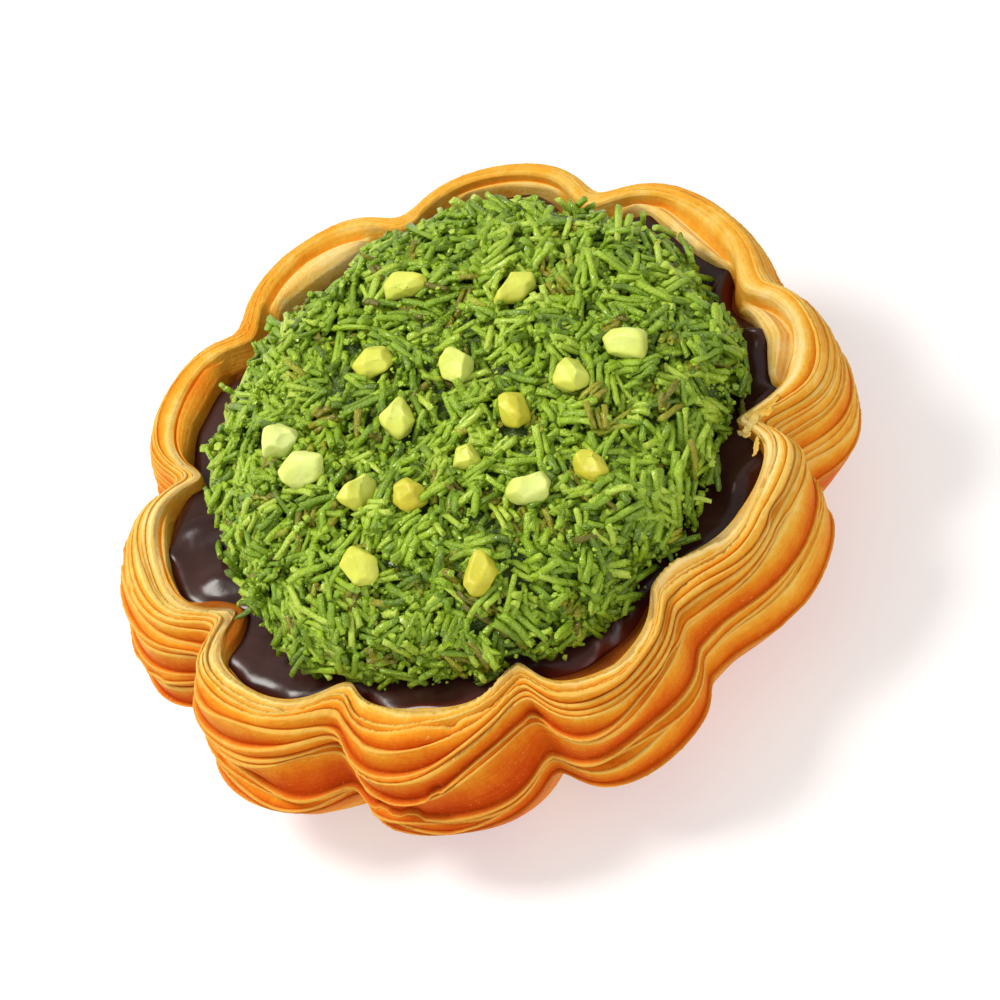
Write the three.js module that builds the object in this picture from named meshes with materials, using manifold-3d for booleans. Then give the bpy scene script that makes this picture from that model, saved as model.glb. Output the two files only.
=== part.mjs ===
// A flower-shaped egg tart. A flaky crust of nested pastry leaves holds a pool of dark
// chocolate, and on the chocolate lies a heap of chopped shredded pastry, coated green,
// with broken pistachios on top.
// Millimetres, +Z up, origin at the middle of the flat underside.

import * as THREE from "three";
import { ConvexGeometry } from "three/addons/geometries/ConvexGeometry.js";
import { MeshSurfaceSampler } from "three/addons/math/MeshSurfaceSampler.js";
import { mergeVertices } from "three/addons/utils/BufferGeometryUtils.js";
import Module from "manifold-3d";

const wasm = await Module();
wasm.setup();
const { degToRad, lerp, seededRandom } = THREE.MathUtils;

// Crust, driving sizes
const PETAL_RADIUS = 39.6; // lowest leaf, at the middle of a petal
const PINCH_RADIUS = 36.1; // lowest leaf, where the crust is pinched in between two petals
const CREST_HEIGHT = 22;
const CREST_PETAL_RADIUS = 36.8;
const CREST_PINCH_RADIUS = 32.2;
const CREST_WIDTH = 1;
const LOW_LEAF_HEIGHT = 10;
const FOOT_PETAL_RADIUS = 29;
const FOOT_PINCH_RADIUS = 26.6;
const WALL_STEPS = [0.08, 0.5, 0.85]; // share of the way out from the foot to the lowest leaf
const WALL_FLARE = 1.3; // above 1 the wall is rounded at its foot
const LEAN = new THREE.Vector2(1, 1.1); // the baked crest stands this far off the foot

// Crust, one number for each pinch or for the petal that follows it
const PINCH_ANGLES = [0, 41, 79, 112, 148, 185, 220, 257, 289, 329]; // degrees
const PINCH_REACH = [2, 0.3, 0.3, 0.9, 0.2, 0.7, 0.2, -0.7, -0.9, 0.3]; // mm beyond the common radius
const PETAL_REACH = [-0.1, 0, 0.4, 0.4, 0.9, 0.7, -0.3, -0.6, -0.9, 1];
const PETAL_SKEW = [1, 1, 1, 1, 1, 1, 1, 1, 1.6, 1]; // above 1 a petal bulges nearer the next pinch
const PINCH_SHARPNESS = 0.22; // smaller is a sharper fold
const PETAL_BREADTH = 0.85; // smaller is a flatter petal

// Crust, the leaves that fan out over the outside
const LEAF_STEPS = [0, 0.14, 0.23, 0.38, 0.5, 0.62, 0.74, 0.85, 0.94, 1]; // share of the way up
const LEAF_LIP = 0.85; // how far a leaf's edge stands proud of the leaf behind it
const LEAF_DIP = 0.1; // the crease behind an edge lies this much lower
const LEAF_BELLY = 5.5; // the larger, the steeper the wall below the crest
const LEAF_SWAY = 0.26; // how far an edge wanders up and down
const LEAF_WAVES = [
  { share: 0.6, round: 3, shift: 2.1 }, // of the sway, waves round the crust, turn from leaf to leaf
  { share: 0.4, round: 8, shift: 4.7 },
];
const INNER_LEAF_RISE = 1.1; // the innermost leaf's edge above the chocolate
const INNER_LEAF_WIDTH = 0.5;

// Chocolate
const CHOCOLATE_LEVEL = 19.2;
const CHOCOLATE_DEPTH = 4;
const CHOCOLATE_PETAL_RADIUS = 34;
const CHOCOLATE_PINCH_RADIUS = 29.8;
const CHOCOLATE_REACH = [0.6, 0.6, 0, 0.2, 0, 0, -2.8, -3.2, -1, -0.6]; // at each petal
const CHOCOLATE_DROOP = 0.45; // the pool rounds down to its edge

// Heap of shredded pastry
const HEAP_RADIUS = 29;
const HEAP_HEIGHT = 12.3;
const HEAP_CENTRE = new THREE.Vector2(1.9, 0.8);
const HEAP_FULLNESS = 0.38; // 1 is a round dome, smaller has steeper sides
const HEAP_UNDERCUT = 1.2; // the foot is this much narrower than the sides
const HEAP_UNDERCUT_HEIGHT = 3.5;
const HEAP_TURN = 30; // degrees, the way the heap is longest
const HEAP_OVAL = 0.043; // share of the radius
const HEAP_CORNERS = 0.016; // share of the radius, three of them
const HEAP_RINGS = 9;
const HEAP_SEGMENTS = 40;
const STRAND_DIAMETER = 1.05;
const STRAND_LENGTHS = [3.2, 7.5];
const STRAND_COUNT = 98;
const STRAND_TRIES = 6000;
const STRAND_SPACING = 3.4;
const STRAND_RISE = 0.22; // its axis lies this far above the core
const STRAND_TILT = 0.24; // slope against the core, as a share of its length
const STRAND_SIDES = 5;

// Pistachio pieces: place on the plan, and length, width and height
const NUTS = [
  { at: [4.2, 15.8], size: [5.2, 4, 3.4], turn: 28 },
  { at: [14, 7.4], size: [5.4, 4.6, 3.8], turn: 20 },
  { at: [20.7, -6.6], size: [5.8, 4.4, 3.6], turn: 5 },
  { at: [-2.5, 8.4], size: [5.4, 4.2, 3.2], turn: 32 },
  { at: [4.5, 2.2], size: [4.8, 4.4, 3.6], turn: 75 },
  { at: [14.1, -7.3], size: [5, 4.2, 3.6], turn: 340 },
  { at: [6.9, -7.2], size: [5.2, 4.6, 3.8], turn: 345 },
  { at: [-3.5, -0.6], size: [5.2, 4.8, 4], turn: 60 },
  { at: [0.6, -9.3], size: [4.2, 3.8, 3], turn: 350 },
  { at: [10.9, -17.5], size: [4.8, 3.8, 3.4], turn: 340 },
  { at: [-15.4, 5.7], size: [4.8, 4.2, 3.8], turn: 50 },
  { at: [-14.8, 0.7], size: [5.4, 4.8, 4.2], turn: 10 },
  { at: [-11, -6.4], size: [4.8, 4.4, 3.8], turn: 70 },
  { at: [-6.6, -10], size: [4.8, 4.2, 3.4], turn: 345 },
  { at: [4.3, -17.1], size: [5.8, 4.4, 3.8], turn: 30 },
  { at: [-14.2, -14], size: [4.8, 4.4, 3.8], turn: 80 },
  { at: [-4.1, -21.7], size: [5.2, 4.2, 3.6], turn: 85 },
];
const NUT_POINTS = 14;
const NUT_CHIPS = [0.82, 1.08]; // how far a corner lies out, as a share of a round nut
const NUT_WOBBLE = 0.8; // radians by which a corner is out of its even place
const NUT_SINK = 0.3; // share of its height below the core
const NUT_SEAT = 0.42; // clear space round a nut in the heap

const GAP = 0.3; // clear space kept between pieces that rest on each other

const SEGMENTS_PER_PETAL = 11;
const PETALS = PINCH_ANGLES.length;

// The plan of the crust: where a petal-by-petal position round it lies, and how far out

// The direction of a position counted in petals, such as 2.5 for the middle of the third.
function petalAngle(position) {
  const petal = Math.floor(position) % PETALS;
  const start = PINCH_ANGLES[petal];
  const end = PINCH_ANGLES[petal + 1] ?? PINCH_ANGLES[0] + 360;
  return degToRad(lerp(start, end, position - Math.floor(position)));
}

// The same position for a direction in radians.
function petalPosition(angle) {
  const degrees = (THREE.MathUtils.radToDeg(angle) + 360) % 360;
  const petal = PINCH_ANGLES.findLastIndex((start) => start <= degrees);
  const end = PINCH_ANGLES[petal + 1] ?? PINCH_ANGLES[0] + 360;
  return petal + (degrees - PINCH_ANGLES[petal]) / (end - PINCH_ANGLES[petal]);
}

// Radius at a position, between the radius of the pinches and that of the petals.
function petalRadius(position, pinchRadius, middleRadius, reaches = PETAL_REACH) {
  const petal = Math.floor(position) % PETALS;
  const share = position - Math.floor(position);
  const rise = Math.sin(Math.PI * share ** PETAL_SKEW[petal]) ** PETAL_BREADTH;
  const bulge = Math.hypot(rise, PINCH_SHARPNESS) - PINCH_SHARPNESS;
  const swell = bulge / (Math.hypot(1, PINCH_SHARPNESS) - PINCH_SHARPNESS);
  const pinched = pinchRadius + lerp(PINCH_REACH[petal], PINCH_REACH[(petal + 1) % PETALS], share);
  return lerp(pinched, middleRadius + reaches[petal], swell);
}

// How far the crust has leaned over at a height.
function leanAt(z) {
  return LEAN.clone().multiplyScalar(Math.max(0, (z - LOW_LEAF_HEIGHT) / (CREST_HEIGHT - LOW_LEAF_HEIGHT)));
}

// How far a leaf's edge is out of level at a position.
function leafSway(leaf, position) {
  const turn = (2 * Math.PI * position) / PETALS;
  const waves = LEAF_WAVES.map((wave) => wave.share * Math.sin(wave.round * turn + wave.shift * leaf));
  return LEAF_SWAY * waves.reduce((sum, wave) => sum + wave, 0);
}

// Solids

function solidFrom(geometry) {
  const bare = geometry.clone();
  bare.deleteAttribute("normal");
  bare.deleteAttribute("uv");
  const merged = mergeVertices(bare, 1e-4);
  return new wasm.Manifold(
    new wasm.Mesh({
      numProp: 3,
      vertProperties: merged.attributes.position.array,
      triVerts: new Uint32Array(merged.index.array),
    }),
  );
}

function geometryFrom(solid) {
  const mesh = solid.getMesh();
  const geometry = new THREE.BufferGeometry();
  geometry.setAttribute("position", new THREE.BufferAttribute(mesh.vertProperties, 3));
  geometry.setIndex(new THREE.BufferAttribute(mesh.triVerts, 1));
  geometry.computeVertexNormals();
  return geometry;
}

// A lathed form whose stations are moved out to the petals. A station is a point of the
// profile, with a radius at the pinches, one at the petals, a height, the leaf it is on
// and the petals' reaches where they aren't the common ones.
function petalled(stations) {
  const profile = stations.map((station) => new THREE.Vector2(station.petal, station.z));
  const segments = PETALS * SEGMENTS_PER_PETAL;
  const geometry = new THREE.LatheGeometry(profile, segments);
  const places = geometry.attributes.position;
  for (let i = 0; i < places.count; i++) {
    const station = stations[i % stations.length];
    const position = (Math.floor(i / stations.length) % segments) / SEGMENTS_PER_PETAL;
    const angle = petalAngle(position);
    const onAxis = station.petal === 0;
    const radius = onAxis ? 0 : petalRadius(position, station.pinch, station.petal, station.reaches);
    const sway = station.leaf === undefined ? 0 : leafSway(station.leaf, position);
    const lean = leanAt(station.z);
    places.setXYZ(i, lean.x + radius * Math.cos(angle), lean.y + radius * Math.sin(angle), station.z + sway);
  }
  return geometry;
}

// Crust: foot, leaves up the outside, crest, inner leaf and the well for the chocolate

function crustStations() {
  const wellFloor = CHOCOLATE_LEVEL - CHOCOLATE_DEPTH;
  const foot = [
    { pinch: 0, petal: 0, z: 0 },
    { pinch: FOOT_PINCH_RADIUS, petal: FOOT_PETAL_RADIUS, z: 0 },
  ];
  const wall = WALL_STEPS.map((step) => ({
    pinch: lerp(FOOT_PINCH_RADIUS, PINCH_RADIUS, step),
    petal: lerp(FOOT_PETAL_RADIUS, PETAL_RADIUS, step),
    z: LOW_LEAF_HEIGHT * step ** WALL_FLARE,
  }));
  const leaves = LEAF_STEPS.flatMap((step, leaf) => {
    const inward = step ** LEAF_BELLY;
    const lip = {
      pinch: lerp(PINCH_RADIUS, CREST_PINCH_RADIUS, inward),
      petal: lerp(PETAL_RADIUS, CREST_PETAL_RADIUS, inward),
      z: lerp(LOW_LEAF_HEIGHT, CREST_HEIGHT, step),
      leaf,
    };
    const crease = { ...lip, pinch: lip.pinch - LEAF_LIP, petal: lip.petal - LEAF_LIP, z: lip.z - LEAF_DIP };
    return leaf < LEAF_STEPS.length - 1 ? [lip, crease] : [lip];
  });
  const crest = leaves.at(-1);
  const well = (spare, z) => ({
    pinch: CHOCOLATE_PINCH_RADIUS + spare,
    petal: CHOCOLATE_PETAL_RADIUS + spare,
    z,
    reaches: CHOCOLATE_REACH,
  });
  const inside = [
    { ...crest, pinch: crest.pinch - CREST_WIDTH, petal: crest.petal - CREST_WIDTH, z: crest.z - LEAF_DIP },
    well(INNER_LEAF_WIDTH, CHOCOLATE_LEVEL + INNER_LEAF_RISE),
    well(0, CHOCOLATE_LEVEL + INNER_LEAF_RISE),
    well(0, wellFloor),
    { pinch: 0, petal: 0, z: wellFloor },
  ];
  return [...foot, ...wall, ...leaves, ...inside];
}

// Chocolate: a pool that rounds down to its edge and fills the well

function chocolateStations() {
  const bottom = CHOCOLATE_LEVEL - CHOCOLATE_DEPTH + GAP;
  const ring = (inset, z) => ({
    pinch: CHOCOLATE_PINCH_RADIUS - GAP - inset,
    petal: CHOCOLATE_PETAL_RADIUS - GAP - inset,
    z,
    reaches: CHOCOLATE_REACH,
  });
  return [
    { pinch: 0, petal: 0, z: bottom },
    ring(0, bottom),
    ring(0, CHOCOLATE_LEVEL - CHOCOLATE_DROOP),
    ring(0.8, CHOCOLATE_LEVEL - CHOCOLATE_DROOP / 4),
    ring(2.2, CHOCOLATE_LEVEL),
    { pinch: 0, petal: 0, z: CHOCOLATE_LEVEL },
  ];
}

// Heap: a core with steep sides, and strands laid over it

const HEAP_FLOOR = CHOCOLATE_LEVEL + GAP;

// A point of the core's surface, by direction and by how far up the dome, 0 to 1.
function heapPoint(angle, climb) {
  const up = (climb * Math.PI) / 2;
  const rise = HEAP_HEIGHT * Math.sin(up);
  const undercut = HEAP_UNDERCUT * Math.max(0, 1 - rise / HEAP_UNDERCUT_HEIGHT) ** 2;
  const turned = angle - degToRad(HEAP_TURN);
  const uneven = 1 + HEAP_OVAL * Math.cos(2 * turned) + HEAP_CORNERS * Math.cos(3 * turned);
  const radius = (HEAP_RADIUS * Math.cos(up) ** HEAP_FULLNESS - undercut) * uneven;
  return new THREE.Vector3(
    HEAP_CENTRE.x + radius * Math.cos(angle),
    HEAP_CENTRE.y + radius * Math.sin(angle),
    HEAP_FLOOR + rise,
  );
}

// Height of the core above a place on the plan, and the way its surface faces there.
function heapTop(x, y) {
  const angle = Math.atan2(y - HEAP_CENTRE.y, x - HEAP_CENTRE.x);
  const reach = Math.hypot(x - HEAP_CENTRE.x, y - HEAP_CENTRE.y);
  let low = 0.2;
  let high = 1;
  for (let i = 0; i < 40; i++) {
    const climb = (low + high) / 2;
    const point = heapPoint(angle, climb);
    const pointReach = Math.hypot(point.x - HEAP_CENTRE.x, point.y - HEAP_CENTRE.y);
    [low, high] = pointReach > reach ? [climb, high] : [low, climb];
  }
  const place = heapPoint(angle, low);
  const above = heapPoint(angle, Math.min(1, low + 0.01));
  const slope = new THREE.Vector3(x, y, place.z).sub(above).normalize();
  const along = new THREE.Vector3(-Math.sin(angle), Math.cos(angle), 0);
  return { place: new THREE.Vector3(x, y, place.z), normal: slope.cross(along).normalize() };
}

function heapCore() {
  const climbs = Array.from({ length: HEAP_RINGS + 1 }, (_, i) => i / HEAP_RINGS);
  const profile = [new THREE.Vector2(0, 0), ...climbs.map((climb) => new THREE.Vector2(1 - climb, climb))];
  const geometry = new THREE.LatheGeometry(profile, HEAP_SEGMENTS);
  const places = geometry.attributes.position;
  const middle = new THREE.Vector3(HEAP_CENTRE.x, HEAP_CENTRE.y, HEAP_FLOOR);
  for (let i = 0; i < places.count; i++) {
    const ring = (i % profile.length) - 1;
    const angle = ((Math.floor(i / profile.length) % HEAP_SEGMENTS) / HEAP_SEGMENTS) * 2 * Math.PI;
    const onAxis = ring < 0 || ring === HEAP_RINGS;
    const point = ring < 0 ? middle : heapPoint(onAxis ? 0 : angle, climbs[ring]);
    places.setXYZ(i, onAxis ? middle.x : point.x, onAxis ? middle.y : point.y, point.z);
  }
  return geometry;
}

// A chopped strand from one point to another.
function strandGeometry(start, end) {
  const axis = end.clone().sub(start);
  const radius = STRAND_DIAMETER / 2;
  const geometry = new THREE.CylinderGeometry(radius, radius, axis.length(), STRAND_SIDES);
  const turn = new THREE.Quaternion().setFromUnitVectors(new THREE.Vector3(0, 1, 0), axis.normalize());
  const middle = start.clone().add(end).multiplyScalar(0.5);
  return geometry.applyQuaternion(turn).translate(middle.x, middle.y, middle.z);
}

// Whether a strand keeps clear of the crust, the chocolate and the nuts.
function strandIsClear(start, end, nuts) {
  const checks = 9;
  for (let i = 0; i < checks; i++) {
    const point = start.clone().lerp(end, i / (checks - 1));
    const lean = leanAt(CHOCOLATE_LEVEL);
    const position = petalPosition(Math.atan2(point.y - lean.y, point.x - lean.x));
    const wall = petalRadius(position, CHOCOLATE_PINCH_RADIUS, CHOCOLATE_PETAL_RADIUS, CHOCOLATE_REACH);
    const besideCrust = point.z < CREST_HEIGHT + LEAF_SWAY + STRAND_DIAMETER;
    if (besideCrust && Math.hypot(point.x - lean.x, point.y - lean.y) > wall - STRAND_DIAMETER) return false;
    if (point.z < HEAP_FLOOR + STRAND_DIAMETER / 2) return false;
    const margin = STRAND_DIAMETER / 2 + GAP;
    if (nuts.some((nut) => nut.centre.distanceTo(point) < nut.reach + margin)) return false;
  }
  return true;
}

function strands(core, nuts) {
  seededRandom(7);
  const faces = core.toNonIndexed();
  faces.computeVertexNormals();
  const sampler = new MeshSurfaceSampler(new THREE.Mesh(faces));
  sampler.setRandomGenerator(() => seededRandom()).build();
  const laid = [];
  const middle = new THREE.Vector3();
  const normal = new THREE.Vector3();
  for (let tries = 0; tries < STRAND_TRIES && laid.length < STRAND_COUNT; tries++) {
    sampler.sample(middle, normal);
    const lie = new THREE.Vector3(seededRandom() - 0.5, seededRandom() - 0.5, seededRandom() - 0.5);
    const tilt = STRAND_TILT * (2 * seededRandom() - 1);
    const along = lie.cross(normal).normalize().addScaledVector(normal, tilt);
    const half = lerp(...STRAND_LENGTHS, seededRandom()) / 2;
    const centre = middle.clone().addScaledVector(normal, STRAND_RISE);
    const start = centre.clone().addScaledVector(along, -half);
    const end = centre.clone().addScaledVector(along, half);
    const crowded = laid.some((other) => other.centre.distanceTo(centre) < STRAND_SPACING);
    if (normal.z < -0.5 || crowded || !strandIsClear(start, end, nuts)) continue;
    laid.push({ centre, geometry: strandGeometry(start, end) });
  }
  return laid.map((strand) => strand.geometry);
}

// The core and its strands as one body, hollowed a little where the nuts lie in it.
function heapGeometry(nuts) {
  const core = heapCore();
  let heap = solidFrom(core);
  for (const strand of strands(core, nuts)) heap = heap.add(solidFrom(strand));
  for (const nut of nuts) heap = heap.subtract(solidFrom(nut.seat));
  const bodies = heap.decompose().sort((a, b) => b.volume() - a.volume());
  return geometryFrom(bodies[0]);
}

// Pistachios: broken kernels with flat faces, lying on the heap as it slopes

const GOLDEN_ANGLE = Math.PI * (3 - Math.sqrt(5));

function nutPieces() {
  return NUTS.map((nut, index) => {
    seededRandom(100 + index);
    const [length, width, height] = nut.size;
    const points = Array.from({ length: NUT_POINTS }, (_, i) => {
      const z = 1 - (2 * i + 1) / NUT_POINTS;
      const turn = i * GOLDEN_ANGLE + seededRandom() * NUT_WOBBLE;
      const round = Math.sqrt(1 - z * z);
      const chip = lerp(...NUT_CHIPS, seededRandom());
      return new THREE.Vector3(round * Math.cos(turn), round * Math.sin(turn), z).multiplyScalar(chip / 2);
    });
    const { place, normal } = heapTop(...nut.at);
    const tilt = new THREE.Quaternion().setFromUnitVectors(new THREE.Vector3(0, 0, 1), normal);
    const turn = new THREE.Quaternion().setFromAxisAngle(new THREE.Vector3(0, 0, 1), degToRad(nut.turn));
    const centre = place.clone().addScaledVector(normal, height * (0.5 - NUT_SINK) + GAP);
    const size = new THREE.Vector3(length, width, height);
    const build = (spare) => {
      const grown = size.clone().multiplyScalar(1 + (2 * spare) / height);
      return new ConvexGeometry(points.map((point) => point.clone().multiply(grown)))
        .applyQuaternion(tilt.clone().multiply(turn))
        .translate(centre.x, centre.y, centre.z);
    };
    return { centre, reach: length * 0.45, geometry: build(0), seat: build(NUT_SEAT) };
  });
}

// Assembly

const finishes = {
  crust: new THREE.MeshStandardMaterial({ color: 0xe09a3a, roughness: 0.55, metalness: 0 }),
  chocolate: new THREE.MeshStandardMaterial({ color: 0x2b1712, roughness: 0.18, metalness: 0 }),
  shreds: new THREE.MeshStandardMaterial({ color: 0x6f9e2c, roughness: 0.5, metalness: 0 }),
  nut: new THREE.MeshStandardMaterial({ color: 0xc9cf66, roughness: 0.5, metalness: 0 }),
};

function piece(name, geometry, finish) {
  const mesh = new THREE.Mesh(geometry, finish);
  mesh.name = name;
  return mesh;
}

const nuts = nutPieces();
const tart = new THREE.Group();
tart.name = "egg_tart";
tart.add(
  piece("pastry_crust", geometryFrom(solidFrom(petalled(crustStations()))), finishes.crust),
  piece("chocolate", geometryFrom(solidFrom(petalled(chocolateStations()))), finishes.chocolate),
  piece("shredded_pastry", heapGeometry(nuts), finishes.shreds),
);
nuts.forEach((nut, index) => {
  const name = `pistachio_${String(index + 1).padStart(2, "0")}`;
  tart.add(piece(name, nut.geometry, finishes.nut));
});

export default tart;
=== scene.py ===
import math
import random

import bmesh
import bpy
import numpy as np
from mathutils import Matrix, Vector, noise


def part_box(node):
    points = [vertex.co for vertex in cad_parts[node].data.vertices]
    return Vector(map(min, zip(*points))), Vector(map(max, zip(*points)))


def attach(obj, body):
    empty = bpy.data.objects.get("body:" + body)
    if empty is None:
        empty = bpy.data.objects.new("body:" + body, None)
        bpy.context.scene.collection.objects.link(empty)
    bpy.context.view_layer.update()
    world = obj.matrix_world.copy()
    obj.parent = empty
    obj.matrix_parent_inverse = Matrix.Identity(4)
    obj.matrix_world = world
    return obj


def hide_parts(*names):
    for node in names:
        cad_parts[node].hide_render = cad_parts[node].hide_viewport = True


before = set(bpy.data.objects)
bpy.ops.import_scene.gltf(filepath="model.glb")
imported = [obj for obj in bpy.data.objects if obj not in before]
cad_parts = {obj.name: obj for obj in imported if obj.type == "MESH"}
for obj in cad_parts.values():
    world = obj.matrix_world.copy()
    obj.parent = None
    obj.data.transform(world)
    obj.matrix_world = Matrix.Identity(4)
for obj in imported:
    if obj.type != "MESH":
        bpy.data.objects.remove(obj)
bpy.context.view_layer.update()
mm = 0.001
bpy.context.scene.view_settings.view_transform = "Standard"


# camera: the picture is turned by roll, aim is the point at the picture's middle
cameraSettings = {"elevation": 49, "roll": 30.5, "distance": 677, "field": 104.2, "aim": (1.27, -7.7, 22)}


def makeCamera():
    up = math.radians(cameraSettings["elevation"])
    roll = math.radians(cameraSettings["roll"])
    right = Vector((1, 0, 0))
    raised = Vector((0, math.sin(up), math.cos(up)))
    back = Vector((0, -math.cos(up), math.sin(up)))
    across = right * math.cos(roll) - raised * math.sin(roll)
    upward = right * math.sin(roll) + raised * math.cos(roll)
    data = bpy.data.cameras.new("tartCamera")
    data.sensor_width = 36
    data.lens = 36 * cameraSettings["distance"] / cameraSettings["field"]
    data.clip_start = 0.01
    camera = bpy.data.objects.new("tartCamera", data)
    turn = Matrix((across, upward, back)).transposed()
    place = Vector(cameraSettings["aim"]) * mm + back * cameraSettings["distance"] * mm
    camera.matrix_world = Matrix.Translation(place) @ turn.to_4x4()
    bpy.context.collection.objects.link(camera)
    bpy.context.scene.camera = camera
    print("camera placed")


# lights: a large soft window behind on the left, a low fill in front
lightSettings = {
    "window": {
        "toward": (-0.4, 0.32, 0.86),
        "distance": 520,
        "size": 190,
        "watts": 2.42,
        "tint": (1, 0.97, 0.92),
    },
    "fill": {
        "toward": (0.25, -0.85, 0.55),
        "distance": 600,
        "size": 420,
        "watts": 0.95,
        "tint": (1, 0.98, 0.95),
    },
    "aim": (0, 0, 18),
    "sky": 0.58,
}


def makeLights():
    for name in ("window", "fill"):
        setting = lightSettings[name]
        data = bpy.data.lights.new(name, "AREA")
        data.energy = setting["watts"]
        data.size = setting["size"] * mm
        data.color = setting["tint"]
        light = bpy.data.objects.new(name, data)
        toward = Vector(setting["toward"]).normalized()
        light.location = Vector(lightSettings["aim"]) * mm + toward * setting["distance"] * mm
        light.rotation_euler = toward.to_track_quat("Z", "Y").to_euler()
        bpy.context.collection.objects.link(light)
    world = bpy.data.worlds.new("studio")
    world.use_nodes = True
    setSockets(world.node_tree.nodes["Background"], {"Color": (1, 1, 1, 1), "Strength": lightSettings["sky"]})
    bpy.context.scene.world = world
    print("lights placed")


# shader maths: a wrapped socket, with operators for values and add() for every other node
class Wire:
    def __init__(self, tree, socket=None):
        self.tree = tree
        self.socket = socket

    def feed(self, socket, value):
        if isinstance(value, Wire):
            self.tree.links.new(value.socket, socket)
        elif value is not None:
            socket.default_value = value

    def add(self, kind, settings=None, sockets=None, out=0):
        node = self.tree.nodes.new(kind)
        for key, value in (settings or {}).items():
            if key == "stops":
                ramp = node.color_ramp.elements
                while len(ramp) < len(value):
                    ramp.new(1)
                for stop, (spot, colour) in zip(ramp, value):
                    stop.position = spot
                    stop.color = colour
            else:
                setattr(node, key, value)
        for key, value in (sockets or {}).items():
            self.feed(node.inputs[key], value)
        return Wire(self.tree, node.outputs[out])

    def sum(self, operation, other, flipped=False):
        pair = {0: other, 1: self} if flipped else {0: self, 1: other}
        return self.add("ShaderNodeMath", {"operation": operation}, pair)

    def __add__(self, other):
        return self.sum("ADD", other)

    __radd__ = __add__

    def __sub__(self, other):
        return self.sum("SUBTRACT", other)

    def __rsub__(self, other):
        return self.sum("SUBTRACT", other, True)

    def __mul__(self, other):
        return self.sum("MULTIPLY", other)

    __rmul__ = __mul__

    def spread(self, low, high, bottom=0, top=1):
        ends = {0: self, 1: low, 2: high, 3: bottom, 4: top}
        return self.add("ShaderNodeMapRange", {"clamp": True, "interpolation_type": "SMOOTHSTEP"}, ends)

    def ramp(self, *stops):
        return self.add("ShaderNodeValToRGB", {"stops": stops}, {0: self})

    def mix(self, first, second):
        return self.add("ShaderNodeMix", {"data_type": "RGBA"}, {0: self, 6: first, 7: second}, 2)


def rgb(*parts):
    shares = [part / 255 for part in parts]
    linear = [share / 12.92 if share < 0.04 else ((share + 0.055) / 1.055) ** 2.4 for share in shares]
    return (*linear, 1)


def newMaterial(name):
    material = bpy.data.materials.new(name)
    material.use_nodes = True
    wire = Wire(material.node_tree)
    shader = material.node_tree.nodes["Principled BSDF"]
    return material, wire, shader


def setSockets(shader, values):
    for key, value in values.items():
        shader.inputs[key].default_value = value


def mark(wire, name):
    return wire.add("ShaderNodeAttribute", {"attribute_name": name, "attribute_type": "GEOMETRY"}, out=2)


def grain(wire, size, detail=3, rough=0.55, seed=0):
    spot = wire.add("ShaderNodeTexCoord", out=3)
    moved = wire.add("ShaderNodeMapping", None, {0: spot, 1: (seed * 0.173, seed * 0.311, seed * 0.237)})
    sockets = {"Vector": moved, "Scale": 1 / (size * mm), "Detail": detail, "Roughness": rough}
    return wire.add("ShaderNodeTexNoise", None, sockets)


def bumped(wire, shader, height, depth):
    bump = wire.add("ShaderNodeBump", None, {"Strength": 1, "Distance": depth * mm, "Height": height})
    wire.feed(shader.inputs["Normal"], bump)


# plan of the crust, in mm and degrees: ten petals between ten pinches
plan = {
    "pinchAngles": (0, 41, 79, 115, 148, 185, 220, 257, 289, 329),
    "pinchReach": (2, 0.3, 0.8, 1.2, -1.1, -1.0, -0.7, -1.7, -0.9, -1.7),
    "petalReach": (-0.1, 0, 0.4, 0.7, 1.6, 0.7, -0.3, -0.6, -0.9, 1.2),
    "chocolateReach": (1.3, 1.3, 0, 0.2, 0.4, 0, -2.8, -3.2, -1.0, -0.6),
    "chocolatePinch": (2, 0.3, 0.8, 1.2, 1.4, -0.6, -0.7, -1.7, -0.9, 0.3),
    "skew": (1, 1, 1, 1, 1, 1, 1, 1, 1.6, 1),
    "notch": (0.6, 0.62, 0.6, 0.5, 0.45, 0.45, 0.45, 0.46, 0.5, 0.55),  # how wide the pinches are
    "steep": (1, 1, 1, 1, 0.9, 0.8, 0.8, 0.85, 1, 1),  # below 1, a petal swells early, most at the crest
    "tuck": (0, 0, 0, 0, 0.1, 0.2, 0.2, -0.1, -0.1, 0),  # how far a pinch slips under the next petal
    "lowLeaf": 10,
    "crest": 22,
    "lean": (1, 1.1),
}


def petalSwell(degrees, high=0):
    starts = np.array(plan["pinchAngles"] + (360,), float)
    turned = np.mod(degrees, 360)
    index = np.clip(np.searchsorted(starts, turned, side="right") - 1, 0, 9)
    share = (turned - starts[index]) / (starts[index + 1] - starts[index])
    share = share + 1.5 * (1 - np.array(plan["steep"])[index]) * high * share * (1 - share)
    rise = np.sin(np.pi * share ** np.array(plan["skew"])[index]) ** 2
    notch = np.array(plan["notch"])[index] ** 2
    return index, share, rise * (1 + notch) / (rise + notch)


def petalRadius(degrees, pinch, petal, reach="petalReach", high=0):
    index, share, swell = petalSwell(degrees, high)
    pinches = plan["pinchReach" if reach == "petalReach" else "chocolatePinch"]
    pinchReach = np.array(pinches + pinches[:1], float)
    pinched = pinch + pinchReach[index] + (pinchReach[index + 1] - pinchReach[index]) * share
    return pinched + (petal + np.array(plan[reach])[index] - pinched) * swell


def petalTuck(degrees, high):
    index, share, swell = petalSwell(degrees, high)
    tuck = np.array(plan["tuck"] + plan["tuck"][:1], float)
    return (tuck[index] + (tuck[index + 1] - tuck[index]) * share) * (1 - swell) ** 2 * (1 - 0.4 * high)


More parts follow.
